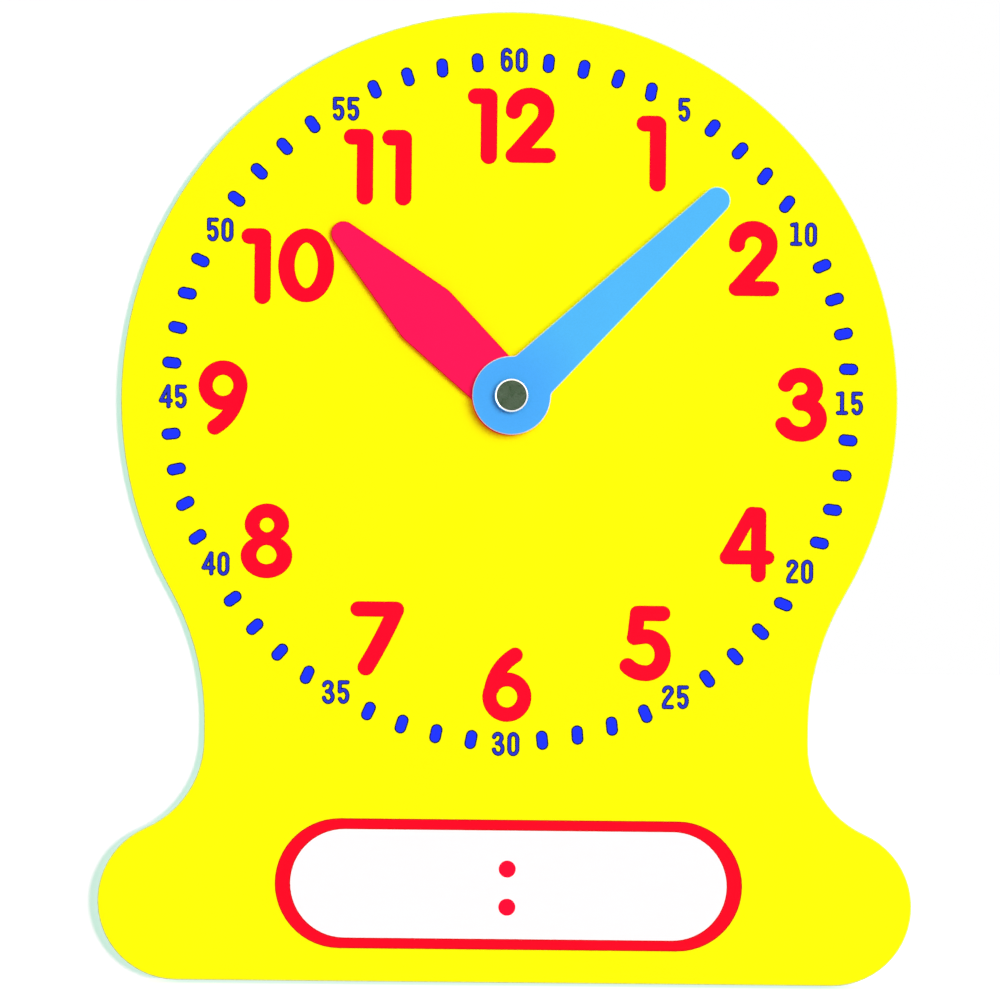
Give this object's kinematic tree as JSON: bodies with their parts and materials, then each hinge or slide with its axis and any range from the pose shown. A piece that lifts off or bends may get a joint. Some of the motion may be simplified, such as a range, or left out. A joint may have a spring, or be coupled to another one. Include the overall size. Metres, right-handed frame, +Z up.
{
  "type": "demonstration clock",
  "caption": "Keyhole-shaped flat teaching clock: a printed plastic board with a wipe-clean panel at its foot, and hour and minute hands turned by hand on a central rivet.",
  "frame": {"origin": "middle of the flat base edge, half way through the board's thickness", "axes": "+Z up along the dial's line from six to twelve, +X to the right as the dial is read, the dial faces -Y"},
  "size_m": [0.3354, 0.0126, 0.4],
  "materials": {
    "white_board": "satin sheet, sawn edge",
    "yellow_film": "screen printed, satin gloss",
    "red_print": "screen printed, satin gloss",
    "white_film": "wipe-clean gloss",
    "blue_print": "screen printed, satin gloss",
    "red_sheet": "fine-grained satin sheet",
    "blue_sheet": "fine-grained satin sheet",
    "clear_washer": "natural polythene",
    "nickel": "bright nickel plate",
    "plated_brass": "nickel plated"
  },
  "bodies": {
    "board": {"face_board": "white_board", "face_film": "yellow_film", "panel_border": "red_print", "writing_panel": "white_film", "panel_dots": "red_print", "minute_marks": "blue_print", "back_washer": "clear_washer", "face_washer": "clear_washer", "hand_washer": "clear_washer", "front_cap": "nickel", "back_cap": "nickel", "rivet_socket": "plated_brass", "rivet_post": "plated_brass"},
    "hour_hand": {"hour_hand": "red_sheet"},
    "minute_hand": {"minute_hand": "blue_sheet"}
  },
  "joints": [
    {"name": "hour_hand_turn", "type": "hinge", "parent": "board", "child": "hour_hand", "pos_m": [0.00095, -0.00355, 0.242], "axis": [0, 1, 0], "continuous": true},
    {"name": "minute_hand_turn", "type": "hinge", "parent": "board", "child": "minute_hand", "pos_m": [0.00095, -0.00565, 0.242], "axis": [0, 1, 0], "continuous": true}
  ]
}
